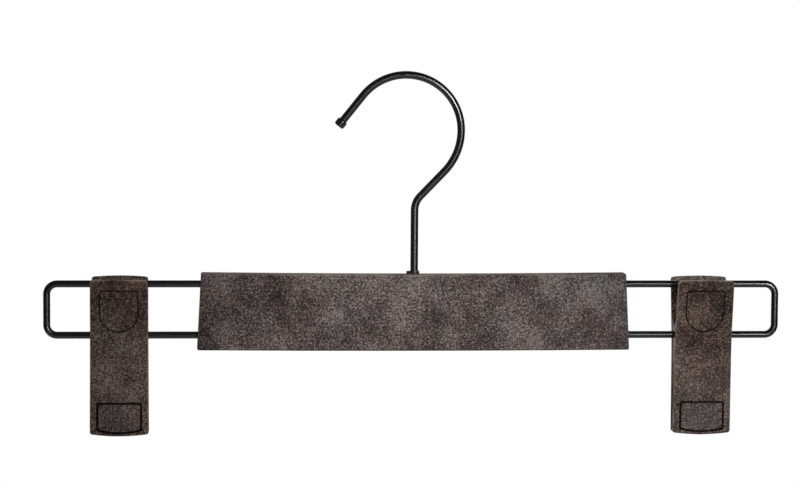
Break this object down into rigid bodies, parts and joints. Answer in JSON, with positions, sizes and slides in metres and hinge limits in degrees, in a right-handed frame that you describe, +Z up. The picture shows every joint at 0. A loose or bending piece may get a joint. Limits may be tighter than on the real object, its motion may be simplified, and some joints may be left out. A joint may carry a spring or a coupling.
{
  "type": "trouser hanger",
  "caption": "Clothes hanger with a swivelling wire hook, a flat fibre-board body and, on a wire loop at each end, a sprung clip that slides and opens to grip a waistband or trouser cuffs.",
  "frame": {"origin": "on the stem's axis at the inner side of the hook's bow, where the hanger sits on a rod", "axes": "+Z up, +X along the hanger to the viewer's right, -Y towards the front; metres"},
  "size_m": [0.34, 0.0238, 0.1681],
  "materials": {
    "lacquered_wire": "black lacquer, half gloss",
    "fibre_board": "pressed fibre composite, soft matt, speckled with fibres",
    "grip_pad": "smooth matt pad",
    "bush": "satin",
    "steel": "plain drawn steel"
  },
  "bodies": {
    "hook": {"hook": "lacquered_wire"},
    "hanger": {"hook_bush": "bush", "hook_washer": "steel", "body_front_shell": "fibre_board", "body_back_shell": "fibre_board", "left_wire_loop": "lacquered_wire", "right_wire_loop": "lacquered_wire"},
    "left_slider": {"left_hinge_tube": "steel"},
    "left_clip": {"left_spring": "steel"},
    "left_front": {"left_front_jaw": "fibre_board", "left_front_pad": "grip_pad"},
    "left_back": {"left_back_jaw": "fibre_board", "left_back_pad": "grip_pad"},
    "right_slider": {"right_hinge_tube": "steel"},
    "right_clip": {"right_spring": "steel"},
    "right_front": {"right_front_jaw": "fibre_board", "right_front_pad": "grip_pad"},
    "right_back": {"right_back_jaw": "fibre_board", "right_back_pad": "grip_pad"}
  },
  "joints": [
    {"name": "hook_swivel", "type": "hinge", "parent": "hook", "child": "hanger", "pos_m": [0, 0, -0.08953], "axis": [0, 0, 1], "continuous": true},
    {"name": "left_clip_slide", "type": "slide", "parent": "hanger", "child": "left_slider", "axis": [1, 0, 0], "range_m": [-0.0145, 0.021]},
    {"name": "left_clip_rock", "type": "hinge", "parent": "left_slider", "child": "left_clip", "pos_m": [-0.1353, 0, -0.11763], "axis": [1, 0, 0], "range_deg": [-4, 4]},
    {"name": "left_front_squeeze", "type": "hinge", "parent": "left_clip", "child": "left_front", "pos_m": [-0.1353, 0, -0.11763], "axis": [-1, 0, 0], "range_deg": [0, 12], "stiffness_Nm_per_rad": 0.55, "springref_deg": -34.38, "deforming": ["left_spring"]},
    {"name": "left_back_squeeze", "type": "hinge", "parent": "left_clip", "child": "left_back", "pos_m": [-0.1353, 0, -0.11763], "axis": [1, 0, 0], "range_deg": [0, 12], "deforming": ["left_spring"]},
    {"name": "right_clip_slide", "type": "slide", "parent": "hanger", "child": "right_slider", "axis": [1, 0, 0], "range_m": [-0.0199, 0.0156]},
    {"name": "right_clip_rock", "type": "hinge", "parent": "right_slider", "child": "right_clip", "pos_m": [0.1342, 0, -0.11763], "axis": [1, 0, 0], "range_deg": [-4, 4]},
    {"name": "right_front_squeeze", "type": "hinge", "parent": "right_clip", "child": "right_front", "pos_m": [0.1342, 0, -0.11763], "axis": [-1, 0, 0], "range_deg": [0, 12], "stiffness_Nm_per_rad": 0.55, "springref_deg": -34.38, "deforming": ["right_spring"]},
    {"name": "right_back_squeeze", "type": "hinge", "parent": "right_clip", "child": "right_back", "pos_m": [0.1342, 0, -0.11763], "axis": [1, 0, 0], "range_deg": [0, 12], "deforming": ["right_spring"]}
  ],
  "couplings": [
    {"joint": "left_back_squeeze", "follows": "left_front_squeeze", "ratio": 1},
    {"joint": "right_back_squeeze", "follows": "right_front_squeeze", "ratio": 1}
  ]
}
